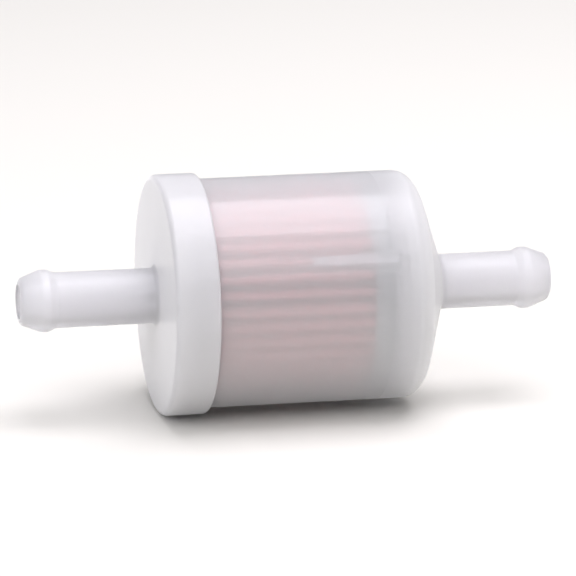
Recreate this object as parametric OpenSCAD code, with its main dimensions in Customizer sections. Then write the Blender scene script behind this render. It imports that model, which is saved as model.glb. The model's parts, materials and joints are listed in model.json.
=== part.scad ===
// Inline fuel filter for a small engine, in millimetres.
// The flow axis is X. Fuel enters the housing's barb at +X, passes through the pleats
// from outside to inside, and leaves by the end cap's barb at -X. The origin is on the
// flow axis, midway between the two barb tips.

/* [Housing] */
// Outer diameter of the cup
body_d = 26.9; // [23:0.1:40]
// Length of the cup's side from the end cap to the corner where the cone starts
side_len = 25.2; // [20:0.1:60]
// Thickness of the cup's wall
wall = 1.2; // [0.9:0.1:1.6]
// Slope of the cone at the inlet end, measured from square to the axis
cone_angle = 19; // [5:1:35]
// Outer radius of the rounded shoulder between the side and the cone
shoulder_r = 2.2; // [1.8:0.1:3]

/* [End cap] */
// Length of the cap's skirt along the axis
cap_len = 5.2; // [4.2:0.1:8]
// Thickness of the cap's flat face
face_t = 1.6; // [1.2:0.1:2]
// Thickness of the skirt around the cup's rim
skirt_t = 0.95; // [0.8:0.05:1.2]
// Height of the skirt above the cup's side
cap_step = 0.7; // [0.4:0.05:1]
// Radius of the edge around the cap's face
face_edge_r = 0.7; // [0.2:0.1:1]
// Radius of the edge at the skirt's end
skirt_edge_r = 0.35; // [0.1:0.05:0.5]

/* [Hose barbs] */
// Length of the outlet barb in front of the cap's face
outlet_len = 16.2; // [12:0.1:30]
// Length of the inlet barb beyond the cone
inlet_len = 13.4; // [10:0.1:30]
// Diameter of the stems, for a hose of 6.35 bore
stem_d = 6.5; // [5.4:0.1:8]
// Height of the bead above the stem
bead_rise = 0.4; // [0.2:0.05:0.8]
// Length from the tip to the middle of the bead's crest
bead_back = 2.95; // [2.2:0.05:4]
// Length of the bead's cylindrical crest
crest_len = 0.8; // [0.4:0.1:1.2]
// Length of the slope behind the crest
slope_len = 0.9; // [0.5:0.1:2]
// Diameter of the passage through both barbs
bore_d = 4; // [3:0.1:4.8]
// Width of the flat rim around the passage at each tip
tip_rim = 0.2; // [0.1:0.05:0.4]
// Radius of the round edge at each tip
tip_edge_r = 0.7; // [0.3:0.1:0.8]
// Radius of the fillet at the foot of each stem
foot_r = 0.6; // [0.2:0.1:1]

/* [Guide ribs] */
// Number of ribs inside the cup
ribs = 4; // [3:1:8]
// Angle of the first rib, from +Y towards +Z
rib_angle = 62.5; // [0:0.5:90]
// Length of the ribs from the corner of the cup inwards
rib_len = 17; // [10:0.5:24]
// Length of the slope at the tip of each rib
rib_lead = 4; // [1:0.5:6]
// Width of a rib at its tip
rib_tip_w = 0.7; // [0.5:0.1:1]
// Width of a rib at the cone
rib_root_w = 1.1; // [0.8:0.1:1.6]
// Depth of the step behind the element, where the rib becomes a stop
stop_depth = 1.6; // [0.8:0.1:2.5]

/* [Filter element] */
// Number of pleats
pleats = 36; // [24:1:40]
// Thickness of the filter paper
paper_t = 0.35; // [0.25:0.05:0.4]
// Width of each fold on its outside
fold_w = 0.9; // [0.8:0.05:1]
// Outer diameter of the core tube
core_d = 12.4; // [10.5:0.1:13.5]
// Thickness of the core tube
core_t = 1; // [0.8:0.1:1.2]
// Rows of windows along the core tube
window_rows = 4; // [2:1:8]
// Windows around the core tube, which lie in opposite pairs
windows_around = 6; // [4:2:8]
// Width of each window around the tube
window_w = 3; // [2:0.1:3.5]
// Width of the bridges between the rows
bridge_w = 1.2; // [0.8:0.1:2]
// Depth of the glue along the seam between the last pleat and the first
seam_depth = 2.2; // [1:0.1:2.4]

/* [End cups of the element] */
// Height of each end cup
cup_h = 2.6; // [2.2:0.1:3]
// Thickness of the cup's floor
cup_floor = 1; // [0.8:0.1:1.2]
// Thickness of the cup's rim
rim_t = 0.45; // [0.4:0.05:0.8]
// Wall of the pilot that the core tube stands around
pilot_t = 1.2; // [0.8:0.1:1.4]
// Depth of the glue in each cup
glue_h = 1.1; // [0.8:0.1:1.2]
// Thickness of the glue under the paper's edge
glue_bed = 0.4; // [0.2:0.1:0.6]

/* [Spigot] */
// Wall of the spigot that carries the element
spigot_wall = 1.5; // [1:0.1:1.6]
// Height of the seat that the open end cup rests on
seat_h = 0.95; // [0.5:0.05:1.2]
// Width of the seat around the spigot
seat_w = 1.5; // [0.8:0.1:3]

/* [Clearances] */
// Gap around the cup's rim in the cap, and between the two at the seam
weld_gap = 0.05; // [0.02:0.01:0.1]
// Radial clearance of the open end cup on the spigot
spigot_fit = 0.05; // [0.02:0.01:0.1]
// Radial clearance of the core tube on each pilot
core_fit = 0.05; // [0.02:0.01:0.1]
// Gap between the open end cup and its seat
seat_gap = 0.05; // [0.02:0.01:0.1]
// Radial space between the pleats and the core tube
pleat_clear = 0.3; // [0.2:0.05:0.5]
// Radial space between the pleats and the rims of the end cups
rim_clear = 0.1; // [0.05:0.05:0.3]
// Radial space for the fuel between the end cups and the wall
flow_gap = 0.65; // [0.5:0.05:2]
// Clearance between the ribs and the closed end cup
rib_clear = 0.12; // [0.05:0.01:0.3]
// End clearance between the closed end cup and the stops
stop_clear = 0.3; // [0.1:0.05:0.6]
// Length of the empty chamber behind the element, up to the corner of the cup
chamber_len = 3; // [2.2:0.1:12]

/* [Hidden] */
$fn = 96;
ARC_STEPS = 12;
PAST = 1;

// Radii
body_r = body_d / 2;
cavity_r = body_r - wall;
cap_r = body_r + cap_step;
skirt_in_r = cap_r - skirt_t;
tongue_r = skirt_in_r - weld_gap;
stem_r = stem_d / 2;
bead_r = stem_r + bead_rise;
bore_r = bore_d / 2;
tip_r = bore_r + tip_rim;
tip_round = min(tip_edge_r, bead_r - tip_r);
spigot_r = bore_r + spigot_wall;
seat_r = spigot_r + seat_w;
cup_r = cavity_r - flow_gap;
rim_in_r = cup_r - rim_t;
pleat_out_r = rim_in_r - rim_clear;
core_r = core_d / 2;
core_in_r = core_r - core_t;
pilot_r = core_in_r - core_fit;
pleat_in_r = core_r + pleat_clear;
rib_r = cup_r + rib_clear;
stop_r = cup_r - stop_depth;

// Places along the flow axis
cone_len = (body_r - stem_r) * tan(cone_angle);
overall = outlet_len + cap_len + side_len + cone_len + inlet_len;
outlet_tip = -overall / 2;
inlet_tip = overall / 2;
face_x = outlet_tip + outlet_len;
face_in_x = face_x + face_t;
cap_end_x = face_x + cap_len;
corner_x = cap_end_x + side_len;
shoulder_x = corner_x - shoulder_r * tan((90 - cone_angle) / 2);
cone_end_x = corner_x + cone_len;
cone_wall = wall / cos(cone_angle);
cavity_corner_x = corner_x + wall * tan(cone_angle) - cone_wall;
inlet_bore_x = cavity_corner_x + (cavity_r - bore_r) * tan(cone_angle);
tongue_end_x = face_in_x + weld_gap;
seat_x = face_in_x + seat_h;
open_cup_x = seat_x + seat_gap;
closed_cup_x = cavity_corner_x - chamber_len;
spigot_end_x = open_cup_x + cup_h;
paper_start = open_cup_x + cup_floor + glue_bed;
paper_end = closed_cup_x - cup_floor - glue_bed;
glue_start = open_cup_x + cup_floor + glue_h;
glue_end = closed_cup_x - cup_floor - glue_h;
stop_x = closed_cup_x + stop_clear;
rib_tip_x = cavity_corner_x - rib_len;

// Points of an arc around [x, y], from one angle to another
function arc(x, y, r, from, to) =
    [for (i = [0 : ARC_STEPS]) let (a = from + (to - from) * i / ARC_STEPS)
        [x + r * cos(a), y + r * sin(a)]];

// The same points in the opposite order
function flip(points) = [for (i = [len(points) - 1 : -1 : 0]) points[i]];

// A point at a distance from the axis and an offset across that direction, turned to an angle
function polar(r, across, angle) =
    [r * cos(angle) - across * sin(angle), r * sin(angle) + across * cos(angle)];

// The outline of a barb, as [radius, distance from the tip], from the passage to its foot
// The nose is a straight taper that runs from the tip's round edge up to the crest
crest_start = bead_back - crest_len / 2;
crest_end = bead_back + crest_len / 2;
nose_rise = bead_r - tip_r;
nose_len = crest_start - tip_round;
nose_angle = atan2(nose_rise, nose_len) - asin(tip_round / norm([nose_len, nose_rise]));
barb_outline = concat(
    [[bore_r, 0]],
    arc(tip_r, tip_round, tip_round, -90, -nose_angle),
    [[bead_r, crest_start], [bead_r, crest_end], [stem_r, crest_end + slope_len]]);

// The barbs placed along the axis, as [radius, x]
outlet_outline = [for (p = barb_outline) [p[0], outlet_tip + p[1]]];
inlet_outline = [for (p = barb_outline) [p[0], inlet_tip - p[1]]];

// Turns a shape from standing on Z to lying along the flow axis, with its X along +Y
module along_flow() {
    rotate([90, 0, 90]) children();
}

// A solid turned around the flow axis from an outline of [radius, x] points
module spun(outline) {
    along_flow() rotate_extrude() polygon(outline);
}

// The fillet where the cone meets the inlet stem, in the order that the outline runs
cone_foot_x = cone_end_x + foot_r * tan((90 - cone_angle) / 2);
cone_foot = arc(stem_r + foot_r, cone_foot_x, foot_r, 270 - cone_angle, 180);

module housing_outside() {
    spun(concat(
        [[0, tongue_end_x], [tongue_r, tongue_end_x], [tongue_r, cap_end_x + weld_gap],
         [body_r, cap_end_x + weld_gap]],
        arc(body_r - shoulder_r, shoulder_x, shoulder_r, 0, 90 - cone_angle),
        cone_foot,
        flip(inlet_outline),
        [[0, inlet_tip]]));
}

module housing_cavity() {
    spun(concat(
        [[0, tongue_end_x - PAST], [cavity_r, tongue_end_x - PAST]],
        arc(body_r - shoulder_r, shoulder_x, shoulder_r - wall, 0, 90 - cone_angle),
        [[bore_r, inlet_bore_x], [0, inlet_bore_x]]));
}

module passage(from, to) {
    translate([from, 0, 0]) rotate([0, 90, 0]) cylinder(h = to - from, r = bore_r);
}

// One rib: its side view, cut to its plan view
module guide_rib() {
    outside = body_r + PAST;
    lead_end_x = rib_tip_x + rib_lead;
    root_x = cone_end_x;
    intersection() {
        rotate([90, 0, 0]) linear_extrude(2 * rib_root_w, center = true)
            polygon([[rib_tip_x, outside], [rib_tip_x, cavity_r], [lead_end_x, rib_r],
                     [stop_x, rib_r], [stop_x, stop_r], [root_x, stop_r],
                     [root_x, outside]]);
        linear_extrude(outside)
            polygon([[rib_tip_x, -rib_tip_w / 2], [root_x, -rib_root_w / 2],
                     [root_x, rib_root_w / 2], [rib_tip_x, rib_tip_w / 2]]);
    }
}

// The cup with its cone, inlet barb and inner ribs, moulded in one piece
module housing() {
    color([0.87, 0.87, 0.89, 0.5]) difference() {
        housing_outside();
        difference() {
            housing_cavity();
            for (i = [0 : ribs - 1])
                rotate([rib_angle - 90 + i * 360 / ribs, 0, 0]) guide_rib();
        }
        passage(cavity_corner_x, inlet_tip + PAST);
    }
}

// The cap with its skirt, outlet barb and inner spigot, moulded in one piece
module end_cap() {
    color([0.88, 0.87, 0.91, 0.7]) spun(concat(
        outlet_outline,
        arc(stem_r + foot_r, face_x - foot_r, foot_r, 180, 90),
        arc(cap_r - face_edge_r, face_x + face_edge_r, face_edge_r, -90, 0),
        arc(cap_r - skirt_edge_r, cap_end_x - skirt_edge_r, skirt_edge_r, 0, 90),
        [[skirt_in_r, cap_end_x], [skirt_in_r, face_in_x], [seat_r, face_in_x],
         [seat_r, seat_x], [spigot_r, seat_x], [spigot_r, spigot_end_x],
         [bore_r, spigot_end_x]]));
}

// The two outlines of the folded paper. Each fold is a flat land with sloping flanks.
pleat_angle = 360 / pleats;
function fold_points(out_r, out_w, in_r, in_w) = [
    for (i = [0 : pleats - 1]) each [
        polar(out_r, -out_w / 2, i * pleat_angle),
        polar(out_r, out_w / 2, i * pleat_angle),
        polar(in_r, -in_w / 2, (i + 0.5) * pleat_angle),
        polar(in_r, in_w / 2, (i + 0.5) * pleat_angle)]];
narrow_w = fold_w - 2 * paper_t;
paper_outside = fold_points(pleat_out_r, fold_w, pleat_in_r + paper_t, narrow_w);
paper_inside = fold_points(pleat_out_r - paper_t, narrow_w, pleat_in_r, fold_w);

module paper_between(from, to) {
    translate([from, 0, 0]) along_flow() linear_extrude(to - from)
        difference() {
            polygon(paper_outside);
            polygon(paper_inside);
        }
}

// The pleated filter paper, in one strip folded into a ring
module pleated_paper() {
    color([0.84, 0.68, 0.70]) paper_between(paper_start, paper_end);
}

// Glue that fills one pleat along its outer fold, where the strip's two ends meet
module seam_glue() {
    // the pleat nearest to the bottom, away from the ribs
    at = 4 * round(pleats * 3 / 4);
    share = seam_depth / (pleat_out_r - paper_t - pleat_in_r);
    left = paper_inside[at];
    right = paper_inside[at + 1];
    left_in = left + share * (paper_inside[at - 1] - left);
    right_in = right + share * (paper_inside[at + 2] - right);
    color([0.80, 0.72, 0.55]) translate([glue_start, 0, 0]) along_flow()
        linear_extrude(glue_end - glue_start) polygon([left, right, right_in, left_in]);
}

// The tube inside the pleats, with windows that let the fuel through
module core_tube() {
    start = open_cup_x + cup_floor;
    end = closed_cup_x - cup_floor;
    pitch = (glue_end - glue_start - bridge_w) / window_rows;
    color([0.86, 0.86, 0.85]) difference() {
        spun([[core_in_r, start], [core_r, start], [core_r, end], [core_in_r, end]]);
        for (row = [0 : window_rows - 1])
            for (pair = [0 : windows_around / 2 - 1])
                translate([glue_start + bridge_w + row * pitch, 0, 0])
                    rotate([pair * 360 / windows_around, 0, 0])
                        translate([0, -window_w / 2, -core_r - PAST])
                            cube([pitch - bridge_w, window_w, 2 * (core_r + PAST)]);
    }
}

// An end cup as an outline: floor at height 0, rim outside and pilot inside.
// A hole of radius 0 makes it a closed cup.
function end_cup_outline(hole) = concat(
    [[hole, 0], [cup_r - rim_t, 0], [cup_r, rim_t], [cup_r, cup_h], [rim_in_r, cup_h],
     [rim_in_r, cup_floor], [pilot_r, cup_floor], [pilot_r, cup_h]],
    hole > 0
        ? [[hole, cup_h]]
        : [[pilot_r - pilot_t, cup_h], [pilot_r - pilot_t, cup_floor], [0, cup_floor]]);

module open_end_cup() {
    color([0.85, 0.85, 0.86])
        spun([for (p = end_cup_outline(spigot_r + spigot_fit)) [p[0], open_cup_x + p[1]]]);
}

module closed_end_cup() {
    color([0.74, 0.75, 0.74])
        spun([for (p = end_cup_outline(0)) [p[0], closed_cup_x - p[1]]]);
}

// A ring of glue that fills a cup between the core tube and the rim, around the paper
module glue_ring(from, to) {
    color([0.80, 0.72, 0.55]) difference() {
        spun([[core_r, from], [rim_in_r, from], [rim_in_r, to], [core_r, to]]);
        paper_between(paper_start, paper_end);
    }
}

module open_end_glue() {
    glue_ring(open_cup_x + cup_floor, glue_start);
}

module closed_end_glue() {
    glue_ring(glue_end, closed_cup_x - cup_floor);
}

housing();
end_cap();
pleated_paper();
core_tube();
open_end_cup();
closed_end_cup();
open_end_glue();
closed_end_glue();
seam_glue();
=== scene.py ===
# %% [markdown]
# # An inline fuel filter in milky nylon
#
# The real filter is a small welded bottle with a hose barb at each end. Its wall is
# natural nylon, which is neither clear nor white: a ring of pink pleated paper shows
# through it as if through fog. The design comes in as a fixed frame in metres. This
# lesson rebuilds the pieces that show with finer meshes, gives every piece a material,
# and sets up a small studio around them.

# %% Load the frame
import json
import math
import random

import bmesh
import bpy
from mathutils import Matrix, Vector


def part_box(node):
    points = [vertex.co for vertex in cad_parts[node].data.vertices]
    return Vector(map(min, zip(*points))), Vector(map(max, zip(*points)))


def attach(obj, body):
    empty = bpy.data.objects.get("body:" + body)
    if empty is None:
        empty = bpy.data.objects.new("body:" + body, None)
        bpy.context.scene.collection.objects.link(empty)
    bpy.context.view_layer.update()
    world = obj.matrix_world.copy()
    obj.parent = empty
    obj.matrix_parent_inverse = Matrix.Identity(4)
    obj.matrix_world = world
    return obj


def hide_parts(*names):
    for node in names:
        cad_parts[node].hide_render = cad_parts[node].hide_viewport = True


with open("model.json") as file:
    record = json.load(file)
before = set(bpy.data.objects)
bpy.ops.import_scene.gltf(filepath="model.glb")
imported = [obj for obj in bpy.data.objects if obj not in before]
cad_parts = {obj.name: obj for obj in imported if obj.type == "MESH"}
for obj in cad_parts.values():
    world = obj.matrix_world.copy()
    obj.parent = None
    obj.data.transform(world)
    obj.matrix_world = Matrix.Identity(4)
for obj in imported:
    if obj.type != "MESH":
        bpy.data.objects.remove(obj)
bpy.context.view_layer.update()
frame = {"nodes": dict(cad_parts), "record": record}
print("pieces in the frame:", ", ".join(sorted(frame["nodes"])))

# %% [markdown]
# ## Sizes
#
# Places come from the frame, so that nothing here can drift away from the design. The
# boxes of the pieces give their ends and their outer radii. The mounts, which are the
# places where hoses are pushed on, give the beads of the barbs and the passage. The flow
# axis is X. Only small sizes that no box shows, such as a wall or a rounding, are
# written down here.

# %% Read the sizes
MM = 0.001
MOUNTS = {mount["name"]: mount for mount in frame["record"]["mounts"]}
BEAD_R = MOUNTS["outlet_barb"]["dims"]["r_mm"] * MM
CREST_LEN = MOUNTS["outlet_barb"]["dims"]["length_mm"] * MM
BORE_R = MOUNTS["outlet_bore"]["dims"]["r_mm"] * MM
INLET_BORE_LEN = MOUNTS["inlet_bore"]["dims"]["length_mm"] * MM

cap_low, cap_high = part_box("end_cap")
cup_low, cup_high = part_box("housing")
CAP_R = cap_high.z
BODY_R = cup_high.z
OUTLET_TIP = cap_low.x
INLET_TIP = cup_high.x
SPIGOT_END = cap_high.x
TONGUE_END = cup_low.x
BEAD_BACK = MOUNTS["outlet_barb"]["pos_m"][0] - OUTLET_TIP

WALL = 1.2 * MM
STEM_R = 3.25 * MM
STEM_LEN = 16.2 * MM
SKIRT_LEN = 5.2 * MM
SKIRT_R = 13.2 * MM
CAP_FACE = OUTLET_TIP + STEM_LEN
CAP_END = CAP_FACE + SKIRT_LEN
CAVITY_R = BODY_R - WALL
print("overall length in mm:", round((INLET_TIP - OUTLET_TIP) / MM, 2))

# %% [markdown]
# ## Turned shells
#
# Both shells come out of moulds that were turned on a lathe, so a lathe is the natural
# way to make them. An outline is a loop of a few corner points. A vertex bevel rounds
# each corner; its offset is the distance from the corner to the start of the arc, which
# follows from the radius and the angle between the two edges. Then `spin` turns the
# outline around the flow axis. A full spin is given `use_merge`, so that its last ring
# lands on its first. Doubles are merged before the normals are turned outwards, because
# `recalc_face_normals` needs a closed shell to know what outwards is.

# %% Helpers that turn an outline into a shell
SPIN_STEPS = 144
ARC_STEPS = 8
MERGE = 0.002 * MM


def round_corner(bm, corner, radius):
    """Replaces a corner of a wire outline with an arc of that radius."""
    before, after = (edge.other_vert(corner).co - corner.co for edge in corner.link_edges)
    bmesh.ops.bevel(
        bm, geom=[corner], offset=radius / math.tan(before.angle(after) / 2),
        offset_type="OFFSET", segments=ARC_STEPS, profile=0.5, affect="VERTICES",
        material=-1)


def draw_outline(corners):
    """A closed outline above the flow axis, from (x, distance from the axis, rounding)."""
    bm = bmesh.new()
    points = [bm.verts.new((x, 0, r)) for x, r, _ in corners]
    for start, end in zip(points, points[1:] + points[:1]):
        bm.edges.new((start, end))
    for point, (_, _, rounding) in zip(points, corners):
        if rounding:
            round_corner(bm, point, rounding)
    return bm


def close_up(bm):
    """Merges doubles, then turns the faces outwards."""
    bmesh.ops.remove_doubles(bm, verts=bm.verts, dist=MERGE)
    bmesh.ops.recalc_face_normals(bm, faces=bm.faces)


def spin_outline(bm):
    """Turns the outline once around the flow axis and closes the result."""
    bmesh.ops.spin(
        bm, geom=bm.verts[:] + bm.edges[:], cent=(0, 0, 0), axis=(1, 0, 0),
        dvec=(0, 0, 0), angle=math.tau, steps=SPIN_STEPS, use_merge=True,
        use_duplicate=False)
    close_up(bm)


def finish_piece(name, bm, node, sharp_angle=40):
    """Makes the object, keeps edges sharper than the angle crisp, and hides the node."""
    for face in bm.faces:
        face.smooth = True
    for edge in bm.edges:
        edge.smooth = edge.calc_face_angle(0) < math.radians(sharp_angle)
    mesh = bpy.data.meshes.new(name)
    bm.to_mesh(mesh)
    bm.free()
    piece = bpy.data.objects.new(name, mesh)
    bpy.context.scene.collection.objects.link(piece)
    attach(piece, "root")
    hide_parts(node)
    print(name, "has", len(mesh.polygons), "faces")
    return piece


# %% [markdown]
# ## The hose barbs
#
# A barb is the same at both ends: a thin rim around the passage, a tapered nose for
# the hose to slide over, a short flat crest, and a slope down to the stem. It could be
# modelled once and mirrored, but each barb is moulded in one with its shell, so it is a
# stretch of that shell's outline.

# %% The corners of a barb
NOSE_SLOPE = math.tan(math.radians(21))
BACK_SLOPE_LEN = 0.9 * MM


def barb_corners(tip, inward):
    """From the passage to the stem. inward is +1 when the filter lies towards +X."""
    nose_len = BEAD_BACK - CREST_LEN / 2
    crest_end = nose_len + CREST_LEN
    return [
        (tip, BORE_R, 0.06 * MM),
        (tip, BEAD_R - NOSE_SLOPE * nose_len, 0.7 * MM),
        (tip + inward * nose_len, BEAD_R, 1 * MM),
        (tip + inward * crest_end, BEAD_R, 0.6 * MM),
        (tip + inward * (crest_end + BACK_SLOPE_LEN), STEM_R, 0.6 * MM),
    ]


# %% [markdown]
# ## The end cap
#
# The cap is a flat face with a barb in front, a skirt around the rim of the cup, and a
# spigot inside that carries the filter element. The outline runs from the passage, over
# the barb and the skirt, and back inside. Moulded edges are never sharp, so even the
# inner corners get a small rounding, which catches the light.

# %% Spin the end cap
def make_cap():
    face_in = CAP_FACE + 1.6 * MM
    seat = face_in + 0.95 * MM
    seat_r = 5 * MM
    spigot_r = 3.5 * MM
    bm = draw_outline(barb_corners(OUTLET_TIP, 1) + [
        (CAP_FACE, STEM_R, 0.6 * MM),
        (CAP_FACE, CAP_R, 0.7 * MM),
        (CAP_END, CAP_R, 0.35 * MM),
        (CAP_END, SKIRT_R, 0.1 * MM),
        (face_in, SKIRT_R, 0.1 * MM),
        (face_in, seat_r, 0.2 * MM),
        (seat, seat_r, 0.1 * MM),
        (seat, spigot_r, 0.1 * MM),
        (SPIGOT_END, spigot_r, 0.2 * MM),
        (SPIGOT_END, BORE_R, 0.1 * MM),
    ])
    spin_outline(bm)
    return finish_piece("cap_shell", bm, "end_cap")


cap_shell = make_cap()

# %% [markdown]
# ## The cup
#
# The cup has the same wall all over, so its inner outline follows the outer one. Four
# ribs on the inside keep the element in the middle. They could be boxes joined on with
# booleans, but they grow more cleanly out of the wall itself: the strip of wall faces
# where a rib stands is extruded, and its new points are pulled towards the axis, by
# nothing at the tip of the rib and by the most behind the element, where the rib becomes
# its stop. The inner outline therefore has a point wherever a rib changes height. The
# outer outline has extra points too, near the inlet end: they move no wall, but each
# gives a ring of faces whose finish can differ from the next. The last two places lie in
# the rounding of the corner, which has points of its own.

# %% Where the ribs stand and how high they are
RIB_COUNT = 4
FIRST_RIB = math.radians(62.5)
RIB_HALF_STRIP = math.tau / SPIN_STEPS
INLET_BARB_LEN = 13.4 * MM
CONE_SLOPE = math.tan(math.radians(19))
CONE_END = INLET_TIP - INLET_BARB_LEN
CORNER = CONE_END - (BODY_R - STEM_R) * CONE_SLOPE
CAVITY_CORNER = CORNER + WALL * CONE_SLOPE - WALL / math.cos(math.atan(CONE_SLOPE))
END_STEPS = [CORNER + offset * MM for offset in (-4.6, -3.6, -2.6, -1.6, -0.6, 0.4)]
STEPS_BEFORE_ROUNDING = 4

closed_low, closed_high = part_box("closed_end_cup")
RIB_LEN = 17 * MM
RIB_LEAD = 4 * MM
RIB_TIP = CAVITY_CORNER - RIB_LEN
RIB_FULL = RIB_TIP + RIB_LEAD
RIB_R = closed_high.z + 0.12 * MM
STOP_START = closed_high.x + 0.3 * MM
STOP_R = closed_high.z - 1.6 * MM
RIB_HEIGHTS = [
    (RIB_TIP, CAVITY_R),
    (RIB_FULL, RIB_R),
    (STOP_START, RIB_R),
    (STOP_START + 0.02 * MM, STOP_R),
]
RIB_ANGLES = [FIRST_RIB + turn * math.tau / RIB_COUNT for turn in range(RIB_COUNT)]


def around(point):
    """The angle of a point around the flow axis, from +Y towards +Z."""
    return math.atan2(point.z, point.y)


def from_rib(point, angle):
    """How far a point has turned away from the middle of a rib."""
    return (around(point) - angle + math.pi) % math.tau - math.pi


def off_axis(point):
    return math.hypot(point.y, point.z)


def rib_radius(x):
    """How far the top of a rib is from the axis at this place along it."""
    for (x0, r0), (x1, r1) in zip(RIB_HEIGHTS, RIB_HEIGHTS[1:]):
        if x <= x1:
            return r0 + (r1 - r0) * max(0, x - x0) / (x1 - x0)
    return STOP_R


# %% Spin the cup and raise its ribs
def raise_rib(bm, angle):
    """Extrudes the strip of inner wall around this angle and pulls it towards the axis."""
    strip = []
    for face in bm.faces:
        middle = face.calc_center_median()
        looks_in = face.normal.y * middle.y + face.normal.z * middle.z < 0
        if looks_in and middle.x > RIB_TIP and off_axis(middle) > STOP_R:
            if abs(from_rib(middle, angle)) < RIB_HALF_STRIP:
                strip.append(face)
    raised = bmesh.ops.extrude_face_region(bm, geom=strip)["geom"]
    bmesh.ops.delete(bm, geom=strip, context="FACES")
    tops = [part for part in raised if isinstance(part, bmesh.types.BMVert)]
    tip_w, root_w = 0.7 * MM, 1.1 * MM
    for top in tops:
        radius = min(off_axis(top.co), rib_radius(top.co.x))
        along = min(1, max(0, (top.co.x - RIB_TIP) / (CAVITY_CORNER - RIB_TIP)))
        half_turn = (tip_w + (root_w - tip_w) * along) / 2 / radius
        turn = from_rib(top.co, angle) / RIB_HALF_STRIP * half_turn + angle
        if radius < CAVITY_R - MERGE and radius < off_axis(top.co):
            top.co.y, top.co.z = radius * math.cos(turn), radius * math.sin(turn)


def make_cup():
    seam = 0.05 * MM
    rib_points = [(x, CAVITY_R, 0) for x, _ in reversed(RIB_HEIGHTS)]
    bm = draw_outline(list(reversed(barb_corners(INLET_TIP, -1))) + [
        (INLET_TIP - INLET_BORE_LEN, BORE_R, 0.1 * MM),
        (CAVITY_CORNER, CAVITY_R, 1 * MM),
    ] + rib_points + [
        (TONGUE_END, CAVITY_R, 0.1 * MM),
        (TONGUE_END, SKIRT_R - seam, 0.1 * MM),
        (CAP_END + seam, SKIRT_R - seam, 0),
        (CAP_END + seam, BODY_R, 0.1 * MM),
    ] + [(x, BODY_R, 0) for x in END_STEPS[:STEPS_BEFORE_ROUNDING]] + [
        (CORNER, BODY_R, 2.2 * MM),
        (CONE_END, STEM_R, 0.6 * MM),
    ])
    spin_outline(bm)
    for angle in RIB_ANGLES:
        raise_rib(bm, angle)
    close_up(bm)
    return finish_piece("cup_shell", bm, "housing")


cup_shell = make_cup()

# %% [markdown]
# ## The pleated paper
#
# The element is one strip of paper folded into 36 pleats and bent into a ring. Seen from
# the end, each pleat has four corners: two on the outer fold and two on the inner one. So
# the mesh starts as a circle with four points for each pleat, which are moved to those
# corners, and a vertex bevel softens them. The outline is then extruded along the flow
# axis in short steps. Real folds are never quite straight, so each one gets a small lean,
# bow and dip of its own. The paper gets its thickness last, from a solidify, when the
# normals already point outwards.

# %% Fold the paper
PLEATS = 36
PAPER = 0.35 * MM
FOLD_WIDTH = 0.85 * MM
VALLEY_WIDTH = 0.4 * MM
FOLD_SOFT = 0.18 * MM
paper_low, paper_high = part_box("pleated_paper")
PLEAT_IN_R = 6.5 * MM
FOLD_OUT = paper_high.y
FOLD_IN = PLEAT_IN_R + PAPER
STEPS_ALONG = 12
random.seed(36)


def fold_outline():
    """The end view of the folded paper at its -X end."""
    bm = bmesh.new()
    facing_x = Matrix.Rotation(math.pi / 2, 4, "Y")
    circle = bmesh.ops.create_circle(bm, segments=4 * PLEATS, radius=FOLD_OUT, matrix=facing_x)
    ordered = sorted(circle["verts"], key=lambda corner: around(corner.co))
    half_pitch = math.pi / PLEATS
    out_turn = FOLD_WIDTH / 2 / FOLD_OUT
    in_turn = VALLEY_WIDTH / 2 / FOLD_IN
    places = [
        (FOLD_OUT, -out_turn), (FOLD_OUT, out_turn),
        (FOLD_IN, half_pitch - in_turn), (FOLD_IN, half_pitch + in_turn)]
    for index, corner in enumerate(ordered):
        radius, turn = places[index % 4]
        turn += index // 4 * 2 * half_pitch
        corner.co = (paper_low.x, radius * math.cos(turn), radius * math.sin(turn))
    bmesh.ops.bevel(
        bm, geom=bm.verts[:], offset=FOLD_SOFT, offset_type="OFFSET", segments=4,
        profile=0.5, affect="VERTICES", material=-1)
    return bm


def extrude_along(bm, length, steps):
    """Extrudes the whole outline towards +X in equal steps."""
    ring = bm.edges[:]
    for _ in range(steps):
        new = bmesh.ops.extrude_edge_only(bm, edges=ring)["geom"]
        ring = [part for part in new if isinstance(part, bmesh.types.BMEdge)]
        points = [part for part in new if isinstance(part, bmesh.types.BMVert)]
        bmesh.ops.translate(bm, verts=points, vec=(length / steps, 0, 0))


def wobble_folds(bm):
    """Leans, bows and dips each outer fold a little. The inner folds stay in place."""
    lean, bow, dip = ([random.uniform(-1, 1) for _ in range(PLEATS)] for _ in range(3))
    for point in bm.verts:
        pleat = round(around(point.co) / math.tau * PLEATS) % PLEATS
        out = (off_axis(point.co) - FOLD_IN) / (FOLD_OUT - FOLD_IN)
        along = (point.co.x - paper_low.x) / (paper_high.x - paper_low.x)
        middle = math.sin(math.pi * along)
        turn = math.radians(0.6 * lean[pleat] * (2 * along - 1) + 0.7 * bow[pleat] * middle)
        shrink = 1 - 0.012 * abs(dip[pleat]) * middle * out
        point.co = Matrix.Rotation(turn * out, 3, "X") @ point.co
        point.co.y *= shrink
        point.co.z *= shrink


def make_paper():
    bm = fold_outline()
    extrude_along(bm, paper_high.x - paper_low.x, STEPS_ALONG)
    wobble_folds(bm)
    close_up(bm)
    bmesh.ops.solidify(bm, geom=bm.faces[:], thickness=PAPER)
    bmesh.ops.recalc_face_normals(bm, faces=bm.faces)
    return finish_piece("paper_pleats", bm, "pleated_paper", 60)


paper_pleats = make_paper()
print("paper radius in mm:", round(max(off_axis(v.co) for v in paper_pleats.data.vertices) / MM, 2))

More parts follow.
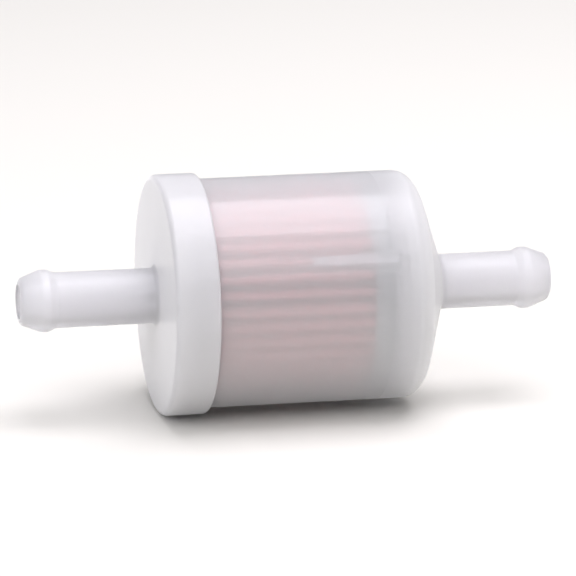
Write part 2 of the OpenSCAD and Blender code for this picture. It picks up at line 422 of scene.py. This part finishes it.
# %% [markdown]
# ## Shared effects
#
# Effects that several finishes need are built once, as node groups with named inputs and
# outputs. A group hands over only colours, masks and values; the shader stays in the
# material. All patterns read Object coordinates, which do not stretch, because every
# piece is at the origin and unscaled.

# %% Helpers for node groups
def new_group(name, inputs, outputs):
    """A shader node group. inputs are (name, default), outputs are (name, socket type)."""
    group = bpy.data.node_groups.new(name, "ShaderNodeTree")
    for title, default in inputs:
        socket = group.interface.new_socket(title, in_out="INPUT", socket_type="NodeSocketFloat")
        socket.default_value = default
    for title, kind in outputs:
        group.interface.new_socket(title, in_out="OUTPUT", socket_type=kind)
    nodes = group.nodes
    return group, nodes.new("NodeGroupInput"), nodes.new("NodeGroupOutput")


def add(tree, kind, **settings):
    """Adds a node and sets its properties."""
    node = tree.nodes.new(kind)
    for name, value in settings.items():
        setattr(node, name, value)
    return node


def wire(tree, start, end):
    tree.links.new(start, end)


def math_node(tree, operation, a, b):
    """A Math node. a and b are sockets or numbers."""
    node = add(tree, "ShaderNodeMath", operation=operation)
    for socket, value in zip(node.inputs, (a, b)):
        if isinstance(value, (int, float)):
            socket.default_value = value
        else:
            wire(tree, value, socket)
    return node.outputs["Value"]


def noise(tree, scale, detail, stretch=(1, 1, 1), roughness=0.5):
    """Noise on Object coordinates. stretch squeezes the pattern along each axis."""
    place = add(tree, "ShaderNodeTexCoord")
    mapping = add(tree, "ShaderNodeMapping")
    mapping.inputs["Scale"].default_value = stretch
    wire(tree, place.outputs["Object"], mapping.inputs["Vector"])
    texture = add(tree, "ShaderNodeTexNoise")
    if isinstance(scale, (int, float)):
        texture.inputs["Scale"].default_value = scale
    else:
        wire(tree, scale, texture.inputs["Scale"])
    texture.inputs["Detail"].default_value = detail
    texture.inputs["Roughness"].default_value = roughness
    wire(tree, mapping.outputs["Vector"], texture.inputs["Vector"])
    return texture.outputs["Fac"]


# %% [markdown]
# Nylon keeps traces of how it flowed into the mould: long faint streaks, and a skin that
# is not perfectly even. Handling then adds fine scuffs, and rubs the edges a little dull.
# Each of these is one group.

# %% Flow streaks, scuffs and rubbed edges
def build_flow_streaks():
    """Long soft streaks along the flow axis. Shade is near 1, and drops by Depth."""
    group, given, made = new_group(
        "flow streaks", [("Scale", 260), ("Depth", 0.05)],
        [("Shade", "NodeSocketFloat"), ("Streaks", "NodeSocketFloat")])
    streaks = noise(group, given.outputs["Scale"], 3, (0.12, 1, 1))
    clouds = noise(group, 70, 2)
    both = math_node(group, "MULTIPLY", streaks, clouds)
    spread = add(group, "ShaderNodeMapRange")
    spread.inputs["From Min"].default_value = 0.15
    spread.inputs["From Max"].default_value = 0.4
    wire(group, both, spread.inputs["Value"])
    drop = math_node(group, "MULTIPLY", spread.outputs["Result"], given.outputs["Depth"])
    wire(group, math_node(group, "SUBTRACT", 1, drop), made.inputs["Shade"])
    wire(group, spread.outputs["Result"], made.inputs["Streaks"])
    return group


def build_scuffs():
    """Handling marks. Height is a faint waviness of the skin, Mask is where it is dull."""
    group, given, made = new_group(
        "fine scuffs", [("Amount", 0.5)],
        [("Height", "NodeSocketFloat"), ("Mask", "NodeSocketFloat")])
    along = noise(group, 900, 3, (0.1, 1, 1))
    across = noise(group, 800, 3, (1, 0.12, 0.4))
    lines = math_node(group, "MULTIPLY", along, across)
    soft = add(group, "ShaderNodeMapRange", interpolation_type="SMOOTHSTEP")
    soft.inputs["From Min"].default_value = 0.2
    soft.inputs["From Max"].default_value = 0.45
    wire(group, lines, soft.inputs["Value"])
    wire(group, math_node(group, "MULTIPLY", soft.outputs["Result"], given.outputs["Amount"]),
         made.inputs["Mask"])
    wire(group, noise(group, 220, 1, (0.4, 1, 1)), made.inputs["Height"])
    return group


def build_rubbed_edges():
    """A mask of the convex edges, broken up so that they aren't rubbed evenly."""
    group, given, made = new_group(
        "rubbed edges", [("Amount", 0.5)], [("Mask", "NodeSocketFloat")])
    shape = add(group, "ShaderNodeNewGeometry")
    edges = add(group, "ShaderNodeMapRange")
    edges.inputs["From Min"].default_value = 0.51
    edges.inputs["From Max"].default_value = 0.56
    wire(group, shape.outputs["Pointiness"], edges.inputs["Value"])
    broken = math_node(group, "MULTIPLY", edges.outputs["Result"], noise(group, 900, 3))
    wire(group, math_node(group, "MULTIPLY", broken, given.outputs["Amount"]), made.inputs["Mask"])
    return group


FLOW_STREAKS = build_flow_streaks()
SCUFFS = build_scuffs()
RUBBED_EDGES = build_rubbed_edges()
print("shared effects:", len(bpy.data.node_groups))

# %% [markdown]
# ## Milky nylon
#
# A milky wall does three things at once: it mirrors a little at its surface, it lets part
# of the light through with its direction blurred, and it scatters the rest inside. Plain
# Alpha would give a sharp picture of the inside with white laid over it. Rough
# transmission blurs what is behind the wall, the more the further away it is, which is
# what fog does. Subsurface scattering carries the rest of the light through the wall, and
# a little sheen keeps the outline pale where the eye looks along the wall.
#
# The outer skin is the milkiest. The inner skin is clearer, so that the two together
# leave a soft view of the paper. Where a rib is at its full height the wall is much
# thicker, so its faces let less through, and the rib shows as a pale streak.
#
# Three more finishes follow the shape. Towards the inlet the wall turns milkier in small
# steps, up to the cone, so that the shoulder looks dense without a hard line. The cone
# has no sheen, because sheen turns a face white when it is seen at a grazing angle. The
# barbs scatter light deeper than the walls, which softens the shading around them.

# %% Build the nylon finishes
NYLON = (0.965, 0.957, 1.0)
ROUGH_SPREAD = 0.02
WALL_DEPTH = 1.5 * MM
WALL_SHEEN = 0.9


def put(tree, group, **values):
    """Places a node group in a material and sets its inputs."""
    node = add(tree, "ShaderNodeGroup", node_tree=group)
    for name, value in values.items():
        node.inputs[name].default_value = value
    return node


def new_finish(name):
    finish = bpy.data.materials.new(name)
    finish.use_nodes = True
    return finish, finish.node_tree, finish.node_tree.nodes["Principled BSDF"]


def shade_color(tree, color, shade):
    """Multiplies a colour, as numbers or a socket, by a shade that changes over the surface."""
    mix = add(tree, "ShaderNodeVectorMath", operation="SCALE")
    if isinstance(color, tuple):
        mix.inputs[0].default_value = color
    else:
        wire(tree, color, mix.inputs[0])
    wire(tree, shade, mix.inputs["Scale"])
    return mix.outputs["Vector"]


def bump(tree, shader, height, depth, strength=0.3):
    """Feeds a height to the shader's normal, as a relief of that depth in metres."""
    node = add(tree, "ShaderNodeBump")
    node.inputs["Strength"].default_value = strength
    node.inputs["Distance"].default_value = depth
    wire(tree, height, node.inputs["Height"])
    wire(tree, node.outputs["Normal"], shader.inputs["Normal"])


def milky_nylon(name, clearness, roughness, coat, depth=WALL_DEPTH, sheen=WALL_SHEEN):
    """Nylon that lets through as much as its clearness says, and scatters over its depth."""
    finish, tree, shader = new_finish(name)
    streaks = put(tree, FLOW_STREAKS, Scale=260, Depth=0.03)
    scuffs = put(tree, SCUFFS, Amount=0.6)
    edges = put(tree, RUBBED_EDGES, Amount=0.5)
    wire(tree, shade_color(tree, NYLON, streaks.outputs["Shade"]), shader.inputs["Base Color"])
    dull = math_node(tree, "ADD", scuffs.outputs["Mask"], edges.outputs["Mask"])
    uneven = math_node(tree, "ADD", dull, streaks.outputs["Streaks"])
    rough = math_node(tree, "MULTIPLY", uneven, ROUGH_SPREAD)
    wire(tree, math_node(tree, "ADD", rough, roughness), shader.inputs["Roughness"])
    bump(tree, shader, scuffs.outputs["Height"], 0.02 * MM, 0.15)
    shader.inputs["Transmission Weight"].default_value = clearness
    shader.inputs["IOR"].default_value = 1.5
    shader.inputs["Subsurface Weight"].default_value = 1.0
    shader.inputs["Subsurface Radius"].default_value = (1.0, 1.0, 1.0)
    shader.inputs["Subsurface Scale"].default_value = depth
    shader.inputs["Specular IOR Level"].default_value = 0.15
    shader.inputs["Coat Weight"].default_value = coat
    shader.inputs["Coat Roughness"].default_value = 0.1
    shader.inputs["Sheen Weight"].default_value = sheen
    shader.inputs["Sheen Roughness"].default_value = 0.35
    return finish


CAP_ROUGH = 0.32
CUP_ROUGH = 0.38
BARB_DEPTH = 2.5 * MM
END_CLEARNESS = [0.64, 0.58, 0.5, 0.42, 0.34, 0.3]
for shell, outer, inner, rough, coat in (
        (cap_shell, 0.45, 0.7, CAP_ROUGH, 0.2), (cup_shell, 0.68, 0.88, CUP_ROUGH, 0.45)):
    shell.data.materials.append(milky_nylon(shell.name + "_skin", outer, rough, coat))
    shell.data.materials.append(milky_nylon(shell.name + "_inside", inner, rough, 0.0))
cup_shell.data.materials.append(milky_nylon("high_rib", 0.3, 0.3, 0.0))
for step, clearness in enumerate(END_CLEARNESS):
    sheen = WALL_SHEEN if END_STEPS[step] < CORNER else 0.0
    cup_shell.data.materials.append(
        milky_nylon(f"inlet_end_{step}", clearness, CUP_ROUGH, 0.15, sheen=sheen))
cup_shell.data.materials.append(milky_nylon("inlet_barb", 0.6, CAP_ROUGH, 0.05, BARB_DEPTH))
cap_shell.data.materials.append(milky_nylon("outlet_barb", 0.55, CAP_ROUGH, 0.05, BARB_DEPTH))

# %% [markdown]
# A mesh can carry several finishes: each face names one by its number. Faces that look
# towards the flow axis are inner skin, and those on the full height of a rib get the rib's
# own finish. Past the first step the cup's outer faces count upwards through the inlet's
# finishes and end with its barb. On the cap, whose list is shorter, the third finish is
# the barb's.

# %% Give the faces their finishes
SKIN, INSIDE, RIB, INLET_END = range(4)
BARB_OUTLET = 2


def on_high_rib(point):
    """Whether this place is on the flanks or the top of a rib past its slope."""
    near = min(abs(from_rib(point, angle)) for angle in RIB_ANGLES)
    inward = rib_radius(point.x) - 0.05 * MM < off_axis(point) < CAVITY_R - 0.02 * MM
    return inward and near < RIB_HALF_STRIP * 1.2 and RIB_FULL < point.x < CAVITY_CORNER


for shell in (cap_shell, cup_shell):
    for face in shell.data.polygons:
        middle, normal = face.center, face.normal
        face.material_index = SKIN
        to_axis = -(normal.y * middle.y + normal.z * middle.z) / off_axis(middle)
        if to_axis > 0.2 and off_axis(middle) > BORE_R + 0.1 * MM:
            face.material_index = INSIDE
        elif middle.x > END_STEPS[0]:
            face.material_index = INLET_END + sum(middle.x > x for x in END_STEPS + [CONE_END]) - 1
        elif middle.x < CAP_FACE - 0.3 * MM:
            face.material_index = BARB_OUTLET
        if shell is cup_shell and on_high_rib(middle):
            face.material_index = RIB
    numbers = range(len(shell.data.materials))
    counts = [sum(f.material_index == k for f in shell.data.polygons) for k in numbers]
    print(shell.name, "faces by finish:", counts)

# %% [markdown]
# ## Filter paper
#
# Filter paper is soaked in resin, which turns it pink and leaves it slightly uneven. Its
# fibres show as a fine cloudy grain.

# %% Build the paper and the inner finishes
def build_fibres():
    """Short tangled fibres as a mask, from two noises of different grain."""
    group, given, made = new_group(
        "paper fibres", [("Scale", 1500)],
        [("Fibres", "NodeSocketFloat"), ("Clouds", "NodeSocketFloat")])
    long_way = noise(group, given.outputs["Scale"], 5, (0.35, 1, 1), 0.7)
    short_way = noise(group, given.outputs["Scale"], 5, (1, 0.5, 0.5), 0.7)
    wire(group, math_node(group, "MAXIMUM", long_way, short_way), made.inputs["Fibres"])
    wire(group, noise(group, 160, 2), made.inputs["Clouds"])
    return group


FIBRES = build_fibres()


def mix_colors(tree, mask, first, second):
    mix = add(tree, "ShaderNodeMix", data_type="RGBA")
    wire(tree, mask, mix.inputs["Factor"])
    mix.inputs[6].default_value = (*first, 1)
    mix.inputs[7].default_value = (*second, 1)
    return mix.outputs[2]


def resin_paper():
    finish, tree, shader = new_finish("resin_paper")
    fibres = put(tree, FIBRES, Scale=1500)
    color = mix_colors(tree, fibres.outputs["Clouds"], (0.80, 0.30, 0.31), (0.84, 0.38, 0.36))
    grain = math_node(tree, "MULTIPLY", fibres.outputs["Fibres"], 0.35)
    shade = math_node(tree, "ADD", grain, 0.8)
    wire(tree, shade_color(tree, color, shade), shader.inputs["Base Color"])
    shader.inputs["Roughness"].default_value = 0.85
    bump(tree, shader, fibres.outputs["Fibres"], 0.04 * MM, 0.5)
    return finish


def moulded_plastic(name, color, roughness):
    """An opaque moulded plastic with the same streaks, scuffs and edges as the nylon."""
    finish, tree, shader = new_finish(name)
    streaks = put(tree, FLOW_STREAKS, Scale=300, Depth=0.12)
    scuffs = put(tree, SCUFFS, Amount=0.8)
    edges = put(tree, RUBBED_EDGES, Amount=0.8)
    wire(tree, shade_color(tree, color, streaks.outputs["Shade"]), shader.inputs["Base Color"])
    dull = math_node(tree, "ADD", scuffs.outputs["Mask"], edges.outputs["Mask"])
    rough = math_node(tree, "MULTIPLY", dull, 0.15)
    wire(tree, math_node(tree, "ADD", rough, roughness), shader.inputs["Roughness"])
    bump(tree, shader, scuffs.outputs["Height"], 0.03 * MM, 0.3)
    return finish


def cured_glue():
    """Amber glue that sank into the cup: glossy, slightly wavy, darker in some patches than others.
    """
    finish, tree, shader = new_finish("cured_glue")
    waves = noise(tree, 420, 3)
    color = mix_colors(tree, waves, (0.52, 0.40, 0.24), (0.72, 0.60, 0.42))
    wire(tree, color, shader.inputs["Base Color"])
    rough = math_node(tree, "MULTIPLY", waves, 0.25)
    wire(tree, math_node(tree, "ADD", rough, 0.15), shader.inputs["Roughness"])
    bump(tree, shader, waves, 0.12 * MM, 0.6)
    return finish


paper_pleats.data.materials.append(resin_paper())

# %% [markdown]
# The remaining pieces of the frame already have the right shape, and fog hides their
# facets, so they stay and only get a finish. A frame mesh is never changed, but its
# material list may be.

# %% Finish the pieces that stay
# The closed end cup gets a dark grey. Part of it is the cup's own colour and part is painted shade,
# for the dim gap at the closed end of the element.
grey_and_painted_shade = moulded_plastic("grey_and_painted_shade", (0.40, 0.43, 0.41), 0.5)
pale_plastic = moulded_plastic("pale_plastic", (0.84, 0.83, 0.80), 0.4)
glue = cured_glue()
FINISHES = {
    "closed_end_cup": grey_and_painted_shade,
    "open_end_cup": pale_plastic,
    "core_tube": pale_plastic,
    "open_end_glue": glue,
    "closed_end_glue": glue,
    "seam_glue": glue,
}
for name, finish in FINISHES.items():
    mesh = frame["nodes"][name].data
    mesh.materials.clear()
    mesh.materials.append(finish)
    print(name, "gets", finish.name)

# %% [markdown]
# ## The studio
#
# White plastic on a white floor needs soft light that still has a direction. A broad
# softbox hangs over the filter: it draws the pale band along the body, and its diffuse
# light falls off down the side. It leans towards +X, because that is where the flat
# direction of the body mirrors it from. A panel high in front lights the near side, a
# wide dim one on the outlet side lifts the face of the cap, and a dim one behind keeps
# the back from going dark. A plain pale floor and an even world fill in the rest.

# %% Build the floor and the lights
scene = bpy.context.scene


def make_floor():
    bm = bmesh.new()
    bmesh.ops.create_grid(
        bm, x_segments=1, y_segments=1, size=3, matrix=Matrix.Translation((0, 0, -CAP_R)))
    mesh = bpy.data.meshes.new("floor")
    bm.to_mesh(mesh)
    bm.free()
    floor = bpy.data.objects.new("floor", mesh)
    scene.collection.objects.link(floor)
    finish, _, shader = new_finish("pale_floor")
    shader.inputs["Base Color"].default_value = (0.76, 0.75, 0.70, 1)
    shader.inputs["Roughness"].default_value = 0.8
    floor.data.materials.append(finish)


def softbox(name, place, target, size, brightness, color):
    """An area light. Its power grows with its area, so that its brightness stays."""
    light = bpy.data.lights.new(name, "AREA")
    light.shape = "RECTANGLE"
    light.size, light.size_y = size
    light.energy = brightness * math.pi * size[0] * size[1]
    light.color = color
    lamp = bpy.data.objects.new(name, light)
    lamp.location = place
    lamp.rotation_euler = (Vector(target) - Vector(place)).to_track_quat("-Z", "Y").to_euler()
    scene.collection.objects.link(lamp)
    print(name, "gives", round(light.energy, 2), "watts")


make_floor()
softbox("overhead", (0.1, 0.025, 0.5), (0.1, 0.025, 0), (0.4, 0.415), 4.8, (0.97, 0.94, 1.0))
softbox("outlet_side", (-0.6, -0.25, 0.15), (0, 0, 0), (0.6, 0.6), 0.5, (0.72, 0.78, 1.0))
softbox("front", (-0.094, -0.44, 0.536), (0, 0, 0), (0.7, 0.6), 1.95, (0.98, 0.96, 1.0))
softbox("rear", (0.1, 0.55, 0.35), (0, 0, 0), (0.7, 0.5), 0.5, (0.95, 0.94, 1.0))

world = bpy.data.worlds.new("studio")
world.use_nodes = True
world.node_tree.nodes["Background"].inputs["Color"].default_value = (0.975, 0.97, 1, 1)
world.node_tree.nodes["Background"].inputs["Strength"].default_value = 0.38
scene.world = world

# %% [markdown]
# ## The camera
#
# The camera stands on the outlet side, a little above the filter, and far away behind a
# long lens, so that the two ends look nearly the same size. Its direction is given by two
# angles: how far it has gone around from -Y, and how high it looks down from. The
# Standard view transform keeps whites white.

# %% Place the camera
AZIMUTH = math.radians(-11.9)
ELEVATION = math.radians(13.5)
DISTANCE = 0.6
VIEW_WIDTH = 67.8 * MM
TARGET = Vector((0.35 * MM, 0, 0.1 * MM))

towards = Vector((
    math.sin(AZIMUTH) * math.cos(ELEVATION),
    -math.cos(AZIMUTH) * math.cos(ELEVATION),
    math.sin(ELEVATION)))
lens = bpy.data.cameras.new("camera")
lens.lens = lens.sensor_width * DISTANCE / VIEW_WIDTH
lens.clip_start = 0.01
camera = bpy.data.objects.new("camera", lens)
camera.location = TARGET + towards * DISTANCE
camera.rotation_euler = (-towards).to_track_quat("-Z", "Y").to_euler()
scene.collection.objects.link(camera)
scene.camera = camera
scene.view_settings.view_transform = "Standard"
print("lens in mm:", round(lens.lens))
